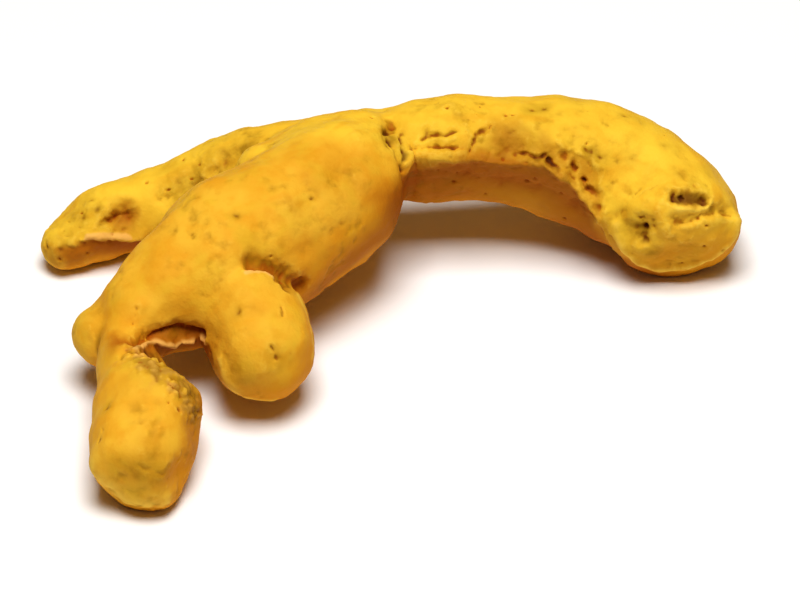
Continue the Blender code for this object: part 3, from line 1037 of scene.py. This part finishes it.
def growth_marks():
    """The tree that presses rings, wrinkles, knots and pits into a skin, and keeps where they are."""
    tree = bpy.data.node_groups.new("growth marks", "GeometryNodeTree")
    tree.is_modifier = True
    tree.interface.new_socket("Geometry", in_out="OUTPUT", socket_type="NodeSocketGeometry")
    tree.interface.new_socket("Geometry", in_out="INPUT", socket_type="NodeSocketGeometry")
    for name in MARK_SIZES:
        tree.interface.new_socket(name, in_out="INPUT", socket_type="NodeSocketFloat")
    tree.interface.new_socket("Seed", in_out="INPUT", socket_type="NodeSocketInt")
    tree.interface.new_socket("Material", in_out="INPUT", socket_type="NodeSocketMaterial")
    graph = Graph(tree)
    given = graph.node("NodeGroupInput")
    position = graph.node("GeometryNodeInputPosition")
    normal = graph.node("GeometryNodeInputNormal")
    here = graph.vector("MULTIPLY", position, (1 / MM, 1 / MM, 1 / MM))
    along = field(graph, "along")
    rough = field(graph, "rough")

    wobble = graph.noise(here, RING_WOBBLE_SIZE, 21)
    turns = (along / given.other("Ring Spacing") + wobble * 0.8) * math.tau
    ring = turns.maths("SINE", turns)
    patches = graph.rise(graph.noise(here, RING_PATCH_SIZE, 22), 0.42, 0.6)
    height = ring * patches * given.other("Ring Height")

    across = graph.vector("DIVIDE", field(graph, "across", "FLOAT_VECTOR"), given.other("Wrinkle Size"))
    lengthways = along / given.other("Wrinkle Size") * WRINKLE_STRETCH
    stretched = {"Vector": across, "W": lengthways, "Scale": 1.0, "Detail": 2}
    wrinkle = graph.node("ShaderNodeTexNoise", {"noise_dimensions": "4D"}, stretched) - 0.5
    height = height + wrinkle * given.other("Wrinkle Height") * (0.5 + 2.0 * field(graph, "bare_skin_and_shade"))
    height = height + (graph.noise(here, GRITTY_SIZE, 23) - 0.5) * (0.08 + 0.45 * rough)
    height = height + (graph.noise(here, UNEVEN_SIZE, 25) - 0.5) * (0.30 + 0.5 * rough)

    fleck = graph.rise(graph.noise(here, given.other("Fleck Size"), 26, 4), 0.48, 0.76)
    fleck = fleck * graph.rise(graph.noise(here, FLECK_PATCH_SIZE, 27), 0.42, 0.62)
    height = height - fleck * given.other("Fleck Depth")

    stir = graph.node("ShaderNodeTexNoise", None, {"Vector": here, "Scale": 0.8}, 1)
    stirred = graph.vector("DIVIDE", graph.vector("ADD", here, stir), given.other("Knot Size"))
    cells = {"Vector": stirred, "Scale": 1.0, "Smoothness": 0.2}
    knot = 0.45 - graph.node("ShaderNodeTexVoronoi", {"feature": "SMOOTH_F1"}, cells)
    knot = knot * field(graph, "knotty")
    knot = knot * graph.rise(graph.noise(here, KNOT_PATCH_SIZE, 28), 0.30, 0.54)
    height = height + knot * given.other("Knot Height")

    smooth_density = 1 / (given.other("Pit Spacing") * given.other("Pit Spacing"))
    rough_density = 1 / (given.other("Rough Pit Spacing") * given.other("Rough Pit Spacing"))
    density = (smooth_density + rough * rough_density) / MM**2
    scatter = {"Mesh": given.other("Geometry"), "Density": density, "Seed": given.other("Seed")}
    spots = graph.node("GeometryNodeDistributePointsOnFaces", {"distribute_method": "RANDOM"}, scatter)
    nearest = graph.node("GeometryNodeSampleNearest", None, {"Geometry": spots})
    centres = {"Geometry": spots, "Value": position, "Index": nearest}
    centre = graph.node("GeometryNodeSampleIndex", {"data_type": "FLOAT_VECTOR"}, centres)
    sizes = {2: given.other("Smallest Pit"), 3: given.other("Largest Pit"), "Seed": given.other("Seed")}
    drawn = graph.node("FunctionNodeRandomValue", None, sizes, 1)
    radii = {"Geometry": spots, "Value": drawn, "Index": nearest}
    radius = graph.node("GeometryNodeSampleIndex", {"data_type": "FLOAT"}, radii)
    gap = graph.vector("DISTANCE", position, centre, out="Value")
    ratio = gap / MM / radius + (graph.noise(here, PIT_EDGE_SIZE, 24) - 0.5) * 1.6
    pit = 1 - graph.rise(ratio, 0.2, 1.0)
    height = height - pit * radius * given.other("Pit Share")

    push = graph.node("ShaderNodeVectorMath", {"operation": "SCALE"}, {0: normal, "Scale": height * MM})
    pressed = {"Geometry": given.other("Geometry"), "Offset": push}
    kept = graph.node("GeometryNodeSetPosition", None, pressed)
    # How far each place faces the shaded side, blurred, for the painted shade
    facing_shaded_side = graph.vector("DOT_PRODUCT", normal, SHADED_SIDE, out="Value")
    smooth = {"Value": facing_shaded_side, "Iterations": SHADED_SIDE_BLUR}
    underside_shade = graph.node("GeometryNodeBlurAttribute", {"data_type": "FLOAT"}, smooth)
    marks = {"pit": pit, "knot": knot, "fleck": fleck, "streak": wrinkle, "underside_shade": underside_shade}
    for name, rounds in HOLLOW_BLURS.items():
        smooth = {"Value": position, "Iterations": rounds}
        level = graph.node("GeometryNodeBlurAttribute", {"data_type": "FLOAT_VECTOR"}, smooth)
        step = graph.vector("SUBTRACT", level, position)
        marks[name] = graph.vector("DOT_PRODUCT", step, normal, out="Value") / MM
    for name, value in marks.items():
        values = {"Geometry": kept, "Name": name, "Value": value}
        kept = graph.node("GeometryNodeStoreNamedAttribute", None, values)
    whole = graph.node("GeometryNodeRealizeInstances", None, {"Geometry": kept})
    clothed = {"Geometry": whole, "Material": given.other("Material")}
    clad = graph.node("GeometryNodeSetMaterial", None, clothed)
    tree.links.new(clad.socket, tree.nodes.new("NodeGroupOutput").inputs["Geometry"])
    return tree


along, across = along_fingers(base)
skin.vertices.foreach_set("co", ((base + normals * height[:, None]) * MM).ravel())
skin.update()
numbers = {
    "dark": dark,
    "worn_and_highlit": worn_and_highlit,
    "stain_and_shade": stain_and_shade,
    "bare_skin_and_shade": bare_skin_and_shade,
    "powdered": powdered,
    "flap": flap,
    "knotty": knotty,
    "rough": rough,
    "along": along,
    "across": across,
}
for name, values in numbers.items():
    keep_attribute(skin, name, values)

marked = placed("marked", skin)
press = marked.modifiers.new("growth marks", "NODES")
press.node_group = growth_marks()
inputs = {**MARK_SIZES, "Seed": PIT_SEED, "Material": polish}
for socket in press.node_group.interface.items_tree:
    if socket.in_out == "INPUT" and socket.name in inputs:
        press[socket.identifier] = inputs[socket.name]
skin = as_mesh(marked)

# Thinning and setting down
# The skin is thinned to what the library takes for a piece, and the lowest spots are worn flat.
# TABLE_BITE is how much comes off the lowest spots, and MIDDLE_Y is where the root's middle was.
MOST_TRIANGLES = 190000
TABLE_BITE = 0.25
MIDDLE_Y = 2.22

thick = placed("thick", skin)
thin = thick.modifiers.new("thin", "DECIMATE")
thin.ratio = min(1, MOST_TRIANGLES / sum(len(face.vertices) - 2 for face in skin.polygons))
thin.use_collapse_triangulate = True
skin = as_mesh(thick)

body = bmesh.new()
body.from_mesh(skin)
plane = {"plane_co": (0, 0, TABLE_BITE * MM), "plane_no": (0, 0, 1)}
cut = bmesh.ops.bisect_plane(body, geom=[*body.verts, *body.edges, *body.faces], clear_inner=True, **plane)
rim = [item for item in cut["geom_cut"] if isinstance(item, bmesh.types.BMEdge)]
bmesh.ops.holes_fill(body, edges=rim, sides=0)
bmesh.ops.recalc_face_normals(body, faces=body.faces)
bmesh.ops.translate(body, verts=body.verts, vec=(0, -MIDDLE_Y * MM, -TABLE_BITE * MM))
body.to_mesh(skin)
body.free()
skin.shade_smooth()
skin.name = "turmeric_skin"

root = placed("turmeric_root_skin", skin)
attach(root, "root")
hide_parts("turmeric_root")
